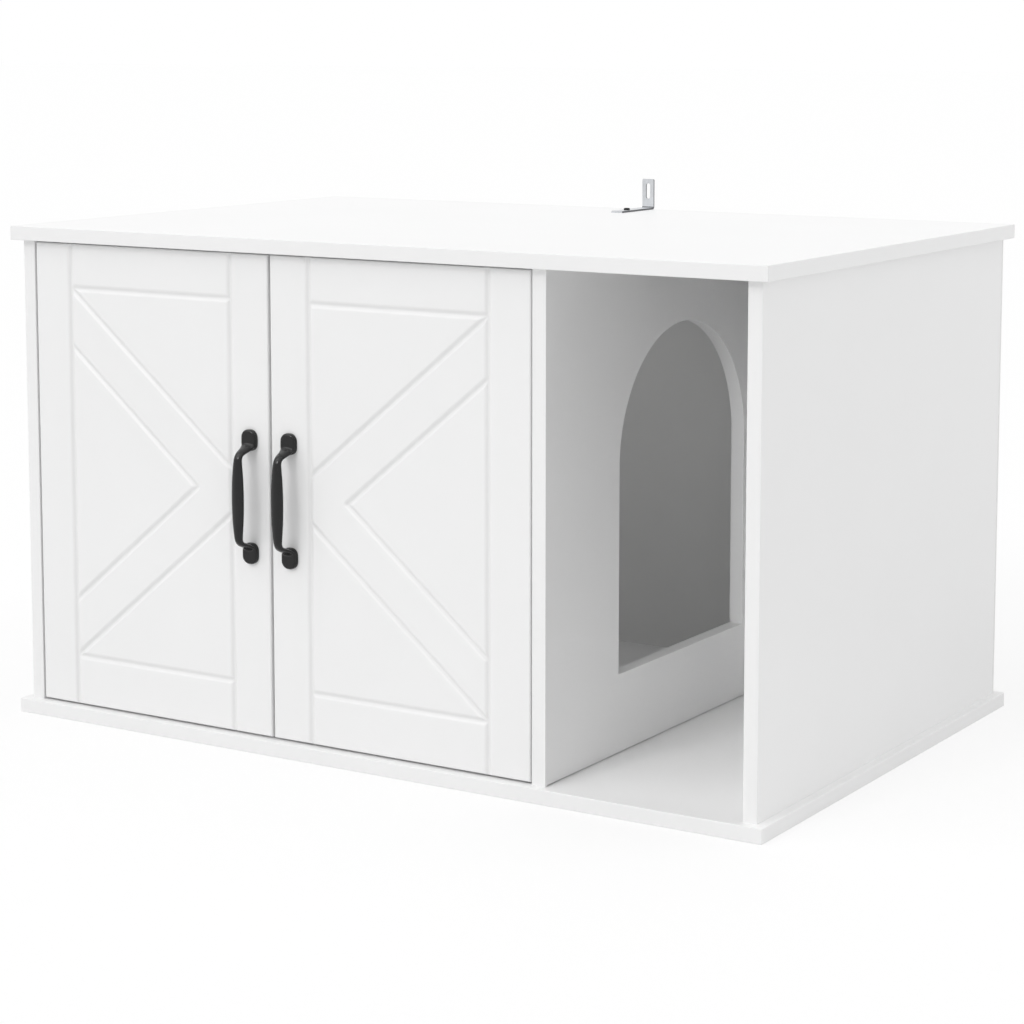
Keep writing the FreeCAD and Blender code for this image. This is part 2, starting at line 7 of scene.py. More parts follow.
# %% Load the frame
import bmesh
import bpy
import json
import math
from contextlib import contextmanager
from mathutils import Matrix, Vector


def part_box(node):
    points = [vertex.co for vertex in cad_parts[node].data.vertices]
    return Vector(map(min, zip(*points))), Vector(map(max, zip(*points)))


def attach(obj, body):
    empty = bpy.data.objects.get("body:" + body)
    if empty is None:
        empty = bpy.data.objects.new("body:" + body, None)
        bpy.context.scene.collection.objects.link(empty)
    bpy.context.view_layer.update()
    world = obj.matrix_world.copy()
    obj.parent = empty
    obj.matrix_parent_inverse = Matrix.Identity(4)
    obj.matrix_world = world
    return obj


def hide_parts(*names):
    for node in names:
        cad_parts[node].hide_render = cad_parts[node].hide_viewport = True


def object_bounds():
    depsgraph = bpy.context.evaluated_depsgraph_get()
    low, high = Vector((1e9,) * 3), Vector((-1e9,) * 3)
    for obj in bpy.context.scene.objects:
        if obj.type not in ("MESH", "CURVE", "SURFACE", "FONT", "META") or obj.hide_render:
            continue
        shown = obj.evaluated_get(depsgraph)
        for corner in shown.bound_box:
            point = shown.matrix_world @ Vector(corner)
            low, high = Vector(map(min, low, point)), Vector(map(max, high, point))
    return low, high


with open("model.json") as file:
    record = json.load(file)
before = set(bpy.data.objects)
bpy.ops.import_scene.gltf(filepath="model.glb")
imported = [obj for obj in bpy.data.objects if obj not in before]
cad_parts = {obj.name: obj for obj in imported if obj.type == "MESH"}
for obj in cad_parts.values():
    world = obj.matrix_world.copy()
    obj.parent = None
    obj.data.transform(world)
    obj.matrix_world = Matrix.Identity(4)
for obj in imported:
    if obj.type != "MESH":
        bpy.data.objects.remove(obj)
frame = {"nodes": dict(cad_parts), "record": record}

cad_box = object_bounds()
nodes = frame["nodes"]

# %% [markdown]
# ## The camera
# The picture was taken from the front right, a little above the top, with a long lens, so the uprights stay
# nearly parallel. The place, the turn and the lens below were worked out from the corners of the top and the
# base. A vertical shift, like the rising front of a view camera, keeps the uprights nearly upright.

# %% The camera
camera_place = Vector((1.4994, -2.3998, 0.7395))
camera_turn = math.radians(32.05)
camera_tilt = math.radians(6.90)
lens_mm = 93.1
sensor_mm = 36
rising_front = -0.16


def deselect():
    bpy.ops.object.select_all(action="DESELECT")


deselect()
camera_angles = (math.pi / 2 - camera_tilt, 0, camera_turn)
bpy.ops.object.camera_add(location=camera_place, rotation=camera_angles)
camera = bpy.context.object
camera.data.lens = lens_mm
camera.data.sensor_width = sensor_mm
camera.data.shift_y = rising_front
bpy.context.scene.camera = camera
bpy.context.scene.view_settings.view_transform = "Standard"
print("camera:", tuple(round(x, 3) for x in camera_place), lens_mm, "mm")

# %% [markdown]
# ## Node trees as sums
# A finish is a small network of nodes. Written link by link it is hard to read, so one class stands for a
# socket and turns `+`, `-`, `*`, `>` and `<` into Math nodes. Another makes any node in one call: its type,
# its settings, and what goes into its sockets.


# %% Sockets that can be added up
class Wire:
    """One output socket. Sums on it add Math nodes to its tree."""

    def __init__(self, tree, socket):
        self.tree = tree
        self.socket = socket

    def maths(self, operation, first, second):
        return self.tree.node("Math", {"operation": operation}, {0: first, 1: second})

    def __add__(self, other):
        return self.maths("ADD", self, other)

    __radd__ = __add__

    def __sub__(self, other):
        return self.maths("SUBTRACT", self, other)

    def __rsub__(self, other):
        return self.maths("SUBTRACT", other, self)

    def __mul__(self, other):
        return self.maths("MULTIPLY", self, other)

    __rmul__ = __mul__

    def __gt__(self, other):
        return self.maths("GREATER_THAN", self, other)

    def __lt__(self, other):
        return self.maths("LESS_THAN", self, other)

    def larger(self, other):
        return self.maths("MAXIMUM", self, other)

    def output(self, name):
        return Wire(self.tree, self.socket.node.outputs[name])


print("sockets can be added up")


# %% Any node in one call
class Tree:
    """A node tree, emptied, with one method that makes any node."""

    def __init__(self, owner):
        owner.use_nodes = True
        self.tree = owner.node_tree
        self.tree.nodes.clear()

    def node(self, kind, settings=None, sockets=None):
        made = self.tree.nodes.new("ShaderNode" + kind)
        for key, value in (settings or {}).items():
            if key == "stops":
                stops = made.color_ramp.elements
                for index, (place, colour) in enumerate(value):
                    stop = stops[index] if index < len(stops) else stops.new(place)
                    stop.position = place
                    stop.color = colour
            else:
                setattr(made, key, value)
        for key, value in (sockets or {}).items():
            if isinstance(value, Wire):
                self.tree.links.new(value.socket, made.inputs[key])
            else:
                made.inputs[key].default_value = value
        return Wire(self, made.outputs[0]) if made.outputs else None


print("node maker ready")

# %% [markdown]
# ## The light
# The picture is lit as in a white tent: soft light from all round, more of it from above, and a key from the
# front left that draws the grooves. A pale world does the first, and suns do the rest. Their beams have no
# edge, so the floor stays even to the horizon. The insides of a white box need a little help: a weak lamp
# behind the doors lifts the closed compartment, and one in the mouth of the bay draws the rim of the arch.

# %% The world and the suns
white = (1, 1, 1, 1)
tent_level = 0.50
# Each sun: the way it shines, its strength, and its spread in degrees.
suns = {
    "key": ((0.16, 0.82, -0.55), 0.56, 16),
    "wide_key": ((0.45, 0.55, -0.70), 0.56, 50),
    "rim": ((-0.80, -0.50, -0.30), 0.66, 60),
    "top": ((0.0, 0.10, -1.0), 0.78, 90),
}


def seen_directly(tree):
    """1 for what the camera sees, also in a mirror or through glass."""
    path = tree.node("LightPath")
    seen = path.output("Is Camera Ray")
    return seen.larger(path.output("Is Glossy Ray")).larger(path.output("Is Transmission Ray"))


world = bpy.data.worlds.new("tent")
bpy.context.scene.world = world
tent = Tree(world)
glow = tent.node("Background", sockets={"Color": white, "Strength": tent_level})
backdrop = tent.node("Background", sockets={"Color": white, "Strength": 1.0})
tent_light = tent.node("MixShader", sockets={0: seen_directly(tent), 1: glow, 2: backdrop})
tent.node("OutputWorld", sockets={"Surface": tent_light})

for sun_name, (aim, strength, spread) in suns.items():
    deselect()
    bpy.ops.object.light_add(type="SUN", rotation=Vector(aim).to_track_quat("-Z", "Y").to_euler())
    sun = bpy.context.object
    sun.name = sun_name
    sun.data.energy = strength
    sun.data.angle = math.radians(spread)
print("lights: tent at", tent_level, "and", len(suns), "suns")

# %% Two weak lamps inside
inside_watts = 0.235
inside_share = 0.6
inside_drop = 0.03
mouth_watts = 0.14
mouth_share = 0.94
mouth_spread = math.radians(26)
mouth_turn = math.radians(74)

left_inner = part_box("left_side_panel")[1].x
divider_low, divider_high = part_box("divider_panel")
right_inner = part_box("right_side_panel")[0].x
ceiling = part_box("top_panel")[0].z
base_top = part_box("base_panel")[1].z


def add_lamp(name, place, turn, watts, size):
    """An area lamp that lights its surroundings and isn't seen itself."""
    deselect()
    bpy.ops.object.light_add(type="AREA", location=place, rotation=turn)
    lamp = bpy.context.object
    lamp.name = name
    lamp.data.energy = watts
    lamp.data.shape = "RECTANGLE"
    lamp.data.size = size[0]
    lamp.data.size_y = size[1]
    lamp.visible_camera = False
    lamp.visible_glossy = False
    print("lamp:", name, [round(side, 3) for side in size], "m")
    return lamp


inside_side = (divider_low.x - left_inner) * inside_share
inside_place = ((left_inner + divider_low.x) / 2, 0, ceiling - inside_drop)
add_lamp("inside_lamp", inside_place, (0, 0, 0), inside_watts, (inside_side, inside_side))
mouth_place = ((divider_high.x + right_inner) / 2, divider_low.y, (base_top + ceiling) / 2)
mouth_size = ((right_inner - divider_high.x) * mouth_share, (ceiling - base_top) * mouth_share)
mouth_lamp = add_lamp("mouth_lamp", mouth_place, (mouth_turn, 0, 0), mouth_watts, mouth_size)
mouth_lamp.data.spread = mouth_spread

# %% [markdown]
# ## The floor
# A seamless white floor. The camera sees most of it as plain white, and the rest as a matt surface that
# takes the cabinet's soft shadow. To the light it is plain matt, so it throws some back up at the boards.

# %% The floor
floor_size = 80
floor_gap = 0.0002
floor_grey = (0.80, 0.80, 0.80, 1)
floor_pale = (0.95, 0.95, 0.95, 1)
shadow_share = 0.25

deselect()
bpy.ops.mesh.primitive_plane_add(size=floor_size, location=(0, 0, cad_box[0].z - floor_gap))
floor = bpy.context.object
floor.name = "floor"
floor_paint = bpy.data.materials.new("floor_paint")
paint = Tree(floor_paint)
matt = paint.node("BsdfDiffuse", sockets={"Color": floor_grey})
takes_shadow = paint.node("BsdfDiffuse", sockets={"Color": floor_pale})
plain_white = paint.node("Emission", sockets={"Color": white, "Strength": 1.0})
shown = paint.node("MixShader", sockets={0: shadow_share, 1: plain_white, 2: takes_shadow})
floor_surface = paint.node("MixShader", sockets={0: seen_directly(paint), 1: matt, 2: shown})
paint.node("OutputMaterial", sockets={"Surface": floor_surface})
floor.data.materials.append(floor_paint)
print("floor:", floor_size, "m square")

# %% [markdown]
# ## Finishes
# The boards are chipboard faced with white melamine, whose press plate leaves a fine pearl in the surface.
# The doors are fibreboard wrapped in smooth vinyl film. The back is thin hardboard with a white print. Each
# finish reads the object's own coordinates, in metres, so a noise of scale 1000 has grains of about a
# millimetre.

# %% What every finish shares
dark_until = 0.3
light_from = 0.7


def new_finish(name):
    material = bpy.data.materials.new(name)
    return material, Tree(material)


def grey(level):
    return (level, level, level)


def noise(tree, scale, detail=2.0, stretch=None):
    """A noise from 0 to 1 over the object's own coordinates, with grains of 1 / scale metres."""
    place = tree.node("TexCoord").output("Object")
    if stretch:
        place = tree.node("Mapping", sockets={"Vector": place, "Scale": stretch})
    return tree.node("TexNoise", sockets={"Vector": place, "Scale": scale, "Detail": detail})


def tint(tree, share, dark, light, shade_colour=None):
    """A colour between dark and light, by a share from 0 to 1, that falls to the shade colour, painted shade,
    below that.
    """
    stops = [(0.0, (*(shade_colour or dark), 1)), (dark_until, (*dark, 1)), (light_from, (*light, 1))]
    return tree.node("ValToRGB", {"stops": stops}, {"Fac": share})


def relief(tree, height, depth, strength=1.0):
    """The normal of a surface whose height varies from 0 to depth metres."""
    return tree.node("Bump", sockets={"Height": height, "Distance": depth, "Strength": strength})


def finished(tree, sockets):
    surface = tree.node("BsdfPrincipled", sockets=sockets)
    tree.node("OutputMaterial", sockets={"Surface": surface})


print("finish helpers ready")

# %% White sheet finishes
cloud_scale = 7.0
cloud_on_gloss = 0.10
pearl_strength = 0.4
# How far the painted shade in the grooves pulls the tone towards the shade colour.
groove_shade_pull = 0.9


def white_sheet(name, dark, light, gloss, pearl_scale, pearl_depth, groove_shade=None):
    """A white facing: a faint cloud in its tone, a fine pearl in its surface, its own gloss, and painted
    shade in its grooves when a groove shade colour is given.
    """
    material, tree = new_finish(name)
    cloud = noise(tree, cloud_scale, detail=3.0)
    pearl = noise(tree, pearl_scale)
    tone = cloud
    # With a groove shade colour, the facing is painted darker along the grooves: painted shade.
    if groove_shade:
        groove = tree.node("Attribute", {"attribute_name": "groove"}).output("Fac")
        tone = cloud - groove_shade_pull * groove
    finished(tree, {
        "Base Color": tint(tree, tone, dark, light, groove_shade),
        "Roughness": gloss + cloud_on_gloss * cloud,
        "Normal": relief(tree, pearl, pearl_depth, pearl_strength),
    })
    return material


board_face = white_sheet(
    "melamine_board", dark=grey(0.884), light=grey(0.896), gloss=0.38,
    pearl_scale=1300.0, pearl_depth=0.00006)
# The doors' film gets painted shade in its grooves.
door_film = white_sheet(
    "vinyl_film", dark=grey(0.886), light=grey(0.897), gloss=0.30,
    pearl_scale=260.0, pearl_depth=0.00004, groove_shade=grey(0.845))
back_print = white_sheet(
    "printed_hardboard", dark=(0.85, 0.85, 0.845), light=(0.875, 0.875, 0.87), gloss=0.52,
    pearl_scale=520.0, pearl_depth=0.00010)
white_plastic = white_sheet(
    "moulded_plastic", dark=(0.80, 0.80, 0.79), light=(0.83, 0.83, 0.82), gloss=0.28,
    pearl_scale=900.0, pearl_depth=0.00003)
print("white finishes:", board_face.name, door_film.name, back_print.name, white_plastic.name)

# %% [markdown]
# ## Metals and the small rest
# The handles are cast iron under a satin black coat that keeps some of the sand's grain. The bracket and most
# of the screws are zinc-plated steel, the hinges nickel-plated, and both show the faint draw lines of rolled
# strip. The dowels are beech, and the catch's magnets are dark sintered ferrite.

# %% Black coats
sand_scale = 900.0
swell_scale = 140.0
sand_on_gloss = 0.12
sand_share = 0.6
grain_strength = 0.5


def black_coat(name, dark, light, gloss, shine, grain_depth):
    """A black with slow swells in its tone, and a sand grain in its gloss and its surface."""
    material, tree = new_finish(name)
    sand = noise(tree, sand_scale, detail=3.0)
    swell = noise(tree, swell_scale)
    grain = sand_share * sand + (1 - sand_share) * swell
    finished(tree, {
        "Base Color": tint(tree, swell, dark, light),
        "Roughness": gloss + sand_on_gloss * sand,
        "Normal": relief(tree, grain, grain_depth, grain_strength),
        "Specular IOR Level": shine,
    })
    return material


cast_black = black_coat(
    "cast_black", dark=grey(0.003), light=grey(0.006), gloss=0.05, shine=0.38, grain_depth=0.0001)
black_oxide = black_coat(
    "black_oxide", dark=grey(0.004), light=grey(0.007), gloss=0.22, shine=0.22, grain_depth=0.00006)
print("black finishes:", cast_black.name, black_oxide.name)

# %% Plated steel
line_scale = 60.0
line_share = 0.5
plating_scale = 90.0
line_on_gloss = 0.18
line_depth = 0.00003
line_strength = 0.4
# How far a face must turn sideways, or into a bend, to get painted shade.
shaded_side_limit = 0.4
shaded_bend_limit = -0.2
zinc_dark = (0.52, 0.535, 0.555)
zinc_light = (0.66, 0.675, 0.695)


def plated_steel(name, dark, light, gloss, stretch, painted_shade=None):
    """Bright metal with fine draw lines and a cloudy plating, with painted shade on its sides and in a bend.
    """
    material, tree = new_finish(name)
    lines = noise(tree, line_scale, detail=4.0, stretch=stretch)
    cloud = noise(tree, plating_scale, detail=3.0)
    facing = tree.node("TexCoord").output("Normal")
    split = tree.node("SeparateXYZ", sockets={"Vector": facing})
    sideways = split.output("X")
    painted_side_shade = sideways * sideways > shaded_side_limit
    painted_bend_shade = split.output("Y") * split.output("Z") < shaded_bend_limit
    # Faces turned sideways and the inside of a bend are painted darker: painted shade.
    tone = line_share * lines + (1 - line_share) * cloud - painted_side_shade - painted_bend_shade
    finished(tree, {
        "Base Color": tint(tree, tone, dark, light, painted_shade),
        "Metallic": 1.0,
        "Roughness": gloss + line_on_gloss * lines,
        "Normal": relief(tree, lines, line_depth, line_strength),
    })
    return material


# On the bracket the painted shade on its sides and in its bend goes almost to black.
strip_zinc = plated_steel(
    "strip_zinc", zinc_dark, zinc_light, gloss=0.24, stretch=(30, 1, 1), painted_shade=(0.11, 0.113, 0.12))
zinc = plated_steel("zinc_plate", zinc_dark, zinc_light, gloss=0.24, stretch=(30, 1, 1))
nickel = plated_steel(
    "nickel_plate", dark=(0.60, 0.585, 0.555), light=(0.72, 0.705, 0.675), gloss=0.14, stretch=(1, 1, 30))
print("steel finishes:", strip_zinc.name, zinc.name, nickel.name)

# %% Beech and ferrite
fibre_scale = 220.0
fibre_stretch = (1, 1, 0.05)
fibre_depth = 0.0001
fibre_gloss = 0.50
speck_scale = 1500.0
speck_depth = 0.00008
speck_gloss = 0.45
grain_on_gloss = 0.2

beech, tree = new_finish("beech")
fibre = noise(tree, fibre_scale, detail=4.0, stretch=fibre_stretch)
finished(tree, {
    "Base Color": tint(tree, fibre, dark=(0.42, 0.26, 0.14), light=(0.62, 0.43, 0.27)),
    "Roughness": fibre_gloss + grain_on_gloss * fibre,
    "Normal": relief(tree, fibre, fibre_depth),
})
ferrite, tree = new_finish("ferrite")
speck = noise(tree, speck_scale, detail=3.0)
finished(tree, {
    "Base Color": tint(tree, speck, dark=(0.030, 0.030, 0.032), light=(0.060, 0.060, 0.064)),
    "Roughness": speck_gloss + grain_on_gloss * speck,
    "Normal": relief(tree, speck, speck_depth),
})
print("small finishes:", beech.name, ferrite.name)

# %% [markdown]
# ## Dressing the solids
# Most of the solids are right as they are: flat boards, screws, dowels. They only need their finish, which
# goes by the material slot that the record gives each of them.

# %% A finish for every solid
finish_of_slot = {
    "white_board": board_face,
    "white_door": door_film,
    "white_hardboard": back_print,
    "white_plastic": white_plastic,
    "black_iron": cast_black,
    "black_steel": black_oxide,
    "zinc_steel": zinc,
    "nickel_steel": nickel,
    "beech": beech,
    "magnet": ferrite,
}
for part in frame["record"]["subparts"]:
    nodes[part["node"]].material_slots[0].material = finish_of_slot[part["material_slot"]]
print("dressed:", len(nodes), "solids in", len(finish_of_slot), "finishes")

# %% [markdown]
# ## Modelling helpers
# The pieces that show most are modelled again as a maker would by hand: a block or a ring is added at its
# size, edges are picked and rounded, and modifiers finish it. An operator works on whatever is selected, so
# each helper clears the selection first and then picks by place.


# %% Adding blocks and bars
def settled(name):
    """Names the new piece, and puts its place, turn and size into its mesh."""
    bpy.ops.object.transform_apply(location=True, rotation=True, scale=True)
    bpy.context.object.name = name
    return bpy.context.object


def add_block(name, low, high):
    deselect()
    low = Vector(low)
    high = Vector(high)
    bpy.ops.mesh.primitive_cube_add(size=1, location=(low + high) / 2, scale=high - low)
    return settled(name)


def add_rod(name, start, end, radius, end_radius=None, sides=64):
    """A round bar, or a cone when its end has a radius of its own."""
    deselect()
    start = Vector(start)
    run = Vector(end) - start
    turn = run.to_track_quat("Z", "Y").to_euler()
    bpy.ops.mesh.primitive_cone_add(
        vertices=sides, radius1=radius, radius2=end_radius or radius, depth=run.length,
        location=start + run / 2, rotation=turn)
    return settled(name)


print("blocks and bars ready")

# %% Picking and rounding edges
tiny = 1e-5
along_share = 0.99


def work_on(piece):
    deselect()
    piece.select_set(True)
    bpy.context.view_layer.objects.active = piece


@contextmanager
def editing(piece):
    work_on(piece)
    bpy.ops.object.mode_set(mode="EDIT")
    yield
    bpy.ops.object.mode_set(mode="OBJECT")


def pick(kind, test):
    """Selects the vertices, edges or faces whose corners all pass the test of a place."""
    bpy.ops.mesh.select_mode(type=kind)
    bpy.ops.mesh.select_all(action="DESELECT")
    mesh = bmesh.from_edit_mesh(bpy.context.object.data)
    items = {"VERT": mesh.verts, "EDGE": mesh.edges, "FACE": mesh.faces}[kind]
    for item in items:
        corners = [item] if kind == "VERT" else item.verts
        if all(test(corner.co) for corner in corners):
            item.select_set(True)
    mesh.select_flush_mode()
    bmesh.update_edit_mesh(bpy.context.object.data)


def round_edges(piece, test, size, steps, along=None):
    """Rounds the edges that pass the test, or only those of them that run along one axis."""
    with editing(piece):
        pick("EDGE", test)
        mesh = bmesh.from_edit_mesh(piece.data)
        for edge in mesh.edges:
            run = edge.verts[1].co - edge.verts[0].co
            if along and abs(getattr(run, along)) < run.length * along_share:
                edge.select_set(False)
        mesh.select_flush_mode()
        bpy.ops.mesh.bevel(offset=size, segments=steps, affect="EDGES", clamp_overlap=True)


print("edges can be picked and rounded")


# %% Cutting and easing
def modify(piece, kind, **settings):
    """Adds one modifier and applies it."""
    work_on(piece)
    added = piece.modifiers.new(kind.lower(), kind)
    for key, value in settings.items():
        setattr(added, key, value)
    bpy.ops.object.modifier_apply(modifier=added.name)


def ease(piece, width, steps, crease):
    """Rounds every edge that is sharper than the crease, in degrees."""
    limit = math.radians(crease)
    modify(piece, "BEVEL", width=width, segments=steps, limit_method="ANGLE", angle_limit=limit)


def combine(piece, tool, operation):
    """Cuts the tool out of the piece, or adds it, and takes the tool away."""
    modify(piece, "BOOLEAN", operation=operation, object=tool, solver="EXACT")
    bpy.data.objects.remove(tool)


print("cutting and easing ready")

# %% Screw seats
sink_radius = 0.0033
sink_depth = 0.0018
shank_radius = 0.0017
sink_play = 0.00006
sink_lift = 0.0004


def countersink(piece, place, way):
    """Cuts the seat of a countersunk screw whose head is flush at a place and goes in along a way."""
    way = Vector(way)
    place = Vector(place)
    slope = (sink_radius - shank_radius) / sink_depth
    seat = add_rod("seat", place - way * sink_lift, place + way * sink_depth,
                   sink_radius + sink_play + slope * sink_lift, shank_radius + sink_play)
    combine(piece, seat, "DIFFERENCE")


print("seats for heads of", 2 * sink_radius, "m")


# %% Joining and copying
def join(pieces, name):
    deselect()
    for piece in pieces:
        piece.select_set(True)
    bpy.context.view_layer.objects.active = pieces[0]
    bpy.ops.object.join()
    return settled(name)


def copied(piece, name, shift=(0, 0, 0), mirror_x=None):
    """A copy with its own mesh, shifted, or mirrored in the plane x = mirror_x."""
    work_on(piece)
    bpy.ops.object.duplicate()
    copy = bpy.context.object
    bpy.ops.transform.translate(value=shift)
    settled(name)
    if mirror_x is not None:
        with editing(copy):
            bpy.ops.mesh.select_all(action="SELECT")
            bpy.ops.transform.resize(value=(-1, 1, 1), center_override=(mirror_x, 0, 0))
            bpy.ops.mesh.normals_make_consistent(inside=False)
    return copy


print("joining and copying ready")

# %% Handing a piece over
smooth_angle = math.radians(36)


def hand_over(piece, body, finish, slot, *stands_for):
    """Smooths the shading, gives the piece its finish, and puts it on its body in place of its solid."""
    work_on(piece)
    bpy.ops.object.shade_smooth_by_angle(angle=smooth_angle)
    modify(piece, "WEIGHTED_NORMAL", keep_sharp=True)
    piece.data.materials.clear()
    piece.data.materials.append(finish)
    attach(piece, body)
    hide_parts(*stands_for)
    print("piece:", piece.name, len(piece.data.polygons), "faces on", body)


print("pieces can be handed over")

# %% [markdown]
# ## The divider
# The upright between the closed compartment and the open bay has an arched doorway in it. In the works the
# arch is milled and banded, and every edge is eased. Where the board stands on the base, a fine dark line
# shows in the bay. So a block is cut with a block and a round bar, its edges are rounded, and a thin slot is
# cut under its foot, which the light can't reach.

# %% An arched board
arch_width = 0.270
arch_front = 0.141
arch_sill = 0.081
arch_head = 0.0745
arch_sides = 160
board_ease = 0.0008
board_crease = 60
foot_slot_deep = 0.006
foot_slot_inset = 0.003
foot_slot_tall = 0.001


def make_divider():
    low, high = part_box("divider_panel")
    radius = arch_width / 2
    middle_y = low.y + arch_front + radius
    spring_z = high.z - arch_head - radius
    before = low.x - radius
    behind = high.x + radius
    divider = add_block("arched_divider", low, high)
    doorway = add_block("doorway", (before, middle_y - radius, low.z + arch_sill),
                        (behind, middle_y + radius, spring_z))
    crown = add_rod("crown", (before, middle_y, spring_z), (behind, middle_y, spring_z),
                    radius, sides=arch_sides)
    combine(doorway, crown, "UNION")
    combine(divider, doorway, "DIFFERENCE")
    ease(divider, board_ease, steps=3, crease=board_crease)
    slot = add_block("slot", (high.x - foot_slot_deep, low.y + foot_slot_inset, low.z - foot_slot_tall),
                     (behind, high.y - foot_slot_inset, low.z + foot_slot_tall))
    combine(divider, slot, "DIFFERENCE")
    return divider


divider = make_divider()
hand_over(divider, "cabinet", board_face, "white_board", "divider_panel")

# %% [markdown]
# ## The doors
# Each door is a fibreboard blank. A router cuts round-bottomed grooves into its face: a frame, and a chevron
# that points at the handles. Then film is drawn over it, which softens every shoulder. A cut made with a
# block would stay sharp, so the face is sliced along each groove instead, and the slices are pressed in by a
# smooth profile. Two pockets at the back take the hinge cups.

# %% Where the grooves run
stile = 0.048
top_rail = 0.0465
bottom_rail = 0.053
chevron_tip = 0.0466
chevron_band = 0.047


def groove_lines(low, high, hinge_side):
    """Start and end, as (x, z), of each groove of a door whose hinges are at low (-1) or high (1) x."""
    hinge = low.x + stile if hinge_side < 0 else high.x - stile
    free = high.x - stile if hinge_side < 0 else low.x + stile
    bottom = low.z + bottom_rail
    top = high.z - top_rail
    middle = (bottom + top) / 2
    half_tip = chevron_tip / 2
    field = abs(free - hinge)
    slope = (top - middle - half_tip) / field
    band_drop = chevron_band * math.hypot(slope, 1)
    apex = hinge + (free - hinge) * ((top - middle - band_drop) / slope) / field
    return [
        ((hinge, low.z), (hinge, high.z)),
        ((free, low.z), (free, high.z)),
        ((hinge, bottom), (free, bottom)),
        ((hinge, top), (free, top)),
        ((hinge, top), (free, middle + half_tip)),
        ((hinge, bottom), (free, middle - half_tip)),
        ((hinge, top - band_drop), (apex, middle)),
        ((hinge, bottom + band_drop), (apex, middle)),
    ]


print("grooves run between stiles of", stile, "m")

# %% How deep the face is at a place
groove_half = 0.0045
groove_depth = 0.002


def from_line(place, line):
    """How far a point of the face, as (x, z), is from a groove's line, in metres."""
    start = Vector(line[0])
    run = Vector(line[1]) - start
    along = (place - start).dot(run) / run.length_squared
    along = min(max(along, 0), 1)
    return (place - start - run * along).length


def groove_share(point, lines):
    """1 at the bottom of the nearest groove, 0 at its shoulder, with a soft bend at both."""
    distance = min(from_line(Vector((point.x, point.z)), line) for line in lines)
    return 0.5 + 0.5 * math.cos(math.pi * min(distance / groove_half, 1))


print("grooves:", 2 * groove_half, "m wide,", groove_depth, "m deep")

# %% Pressing the grooves
slice_shares = (-1.25, -1, -0.75, -0.5, -0.25, 0, 0.25, 0.5, 0.75, 1, 1.25)


def slice_face(door, face_y, lines):
    """Cuts the blank along every groove, so that its face can bend there."""
    with editing(door):
        for start, end in lines:
            run = Vector((end[0] - start[0], 0, end[1] - start[1])).normalized()
            across = Vector((run.z, 0, -run.x))
            for share in slice_shares:
                place = Vector((start[0], face_y, start[1])) + across * groove_half * share
                bpy.ops.mesh.select_all(action="SELECT")
                bpy.ops.mesh.bisect(plane_co=place, plane_no=across)


def press_face(door, face_y, lines):
    """Sinks the slices to the grooves' profile. Rounded edges that lie deeper already stay."""
    pressed = door.vertex_groups.new(name="pressed")
    for vertex in door.data.vertices:
        press = face_y + groove_depth * groove_share(vertex.co, lines) - vertex.co.y
        if press > 0:
            pressed.add([vertex.index], press / groove_depth, "REPLACE")
    modify(door, "DISPLACE", direction="Y", strength=groove_depth, mid_level=0, vertex_group="pressed")
    door.vertex_groups.clear()


def mark_grooves(door, face_y, lines):
    """Writes on the mesh where the grooves are, for the painted shade in them."""
    marks = door.data.attributes.new("groove", "FLOAT", "POINT")
    for vertex, mark in zip(door.data.vertices, marks.data):
        on_face = vertex.co.y < face_y + 2 * groove_depth
        mark.value = groove_share(vertex.co, lines) if on_face else 0


print("slices per groove:", len(slice_shares))

# %% Two doors
door_round = 0.002
back_round = 0.0006
cup_radius = 0.0175
cup_edge = 0.004
cup_play = 0.0001
cup_floor = 0.0026
pocket_reach = 0.01
hinge_rows = ("upper", "lower")


def cut_pockets(door, side, hinge_side):
    low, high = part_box(side + "_door")
    edge = low.x if hinge_side < 0 else high.x
    centre_x = edge - hinge_side * (cup_edge + cup_radius)
    for row in hinge_rows:
        cup_low, cup_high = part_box(f"{side}_{row}_hinge_cup")
        centre_z = (cup_low.z + cup_high.z) / 2
        pocket = add_rod("pocket", (centre_x, low.y + cup_floor, centre_z),
                         (centre_x, high.y + pocket_reach, centre_z), cup_radius + cup_play)
        combine(door, pocket, "DIFFERENCE")


def make_door(side, hinge_side):
    low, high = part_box(side + "_door")
    lines = groove_lines(low, high, hinge_side)
    door = add_block(side + "_door_leaf", low, high)
    round_edges(door, lambda place: place.y < low.y + tiny, door_round, steps=4)
    round_edges(door, lambda place: place.y > high.y - tiny, back_round, steps=2)
    slice_face(door, low.y, lines)
    press_face(door, low.y, lines)
    cut_pockets(door, side, hinge_side)
    mark_grooves(door, low.y, lines)
    hand_over(door, side + "_door", door_film, "white_door", side + "_door")


make_door("left", -1)
make_door("right", 1)

# %% [markdown]
# ## The handles
# Each handle is an iron casting: two flat feet, and a bowed grip that flares out of them, narrows at the neck
# and swells in the middle. Rings are set along the bow and bridged, the feet are rounded blocks, and a voxel
# remesh melts them into one skin, as the mould would. The skin is then smoothed and cut flat at the door.

# %% The bow
grip_reach = 0.022
grip_width = 0.0146
grip_thick = 0.0076
ring_steps = 5
# Each ring from foot to middle: its height, reach, width and thickness, as shares of the whole.
bow = (
    (0.87, 0.05, 1.24, 0.55),
    (0.80, 0.10, 1.24, 0.66),
    (0.75, 0.22, 1.12, 0.74),
    (0.715, 0.42, 0.95, 0.73),
    (0.69, 0.62, 0.81, 0.70),
    (0.66, 0.82, 0.69, 0.69),
    (0.61, 0.945, 0.655, 0.75),
    (0.53, 0.985, 0.72, 0.84),
    (0.29, 1.0, 0.93, 0.96),
    (0.0, 1.0, 1.0, 1.0),
)


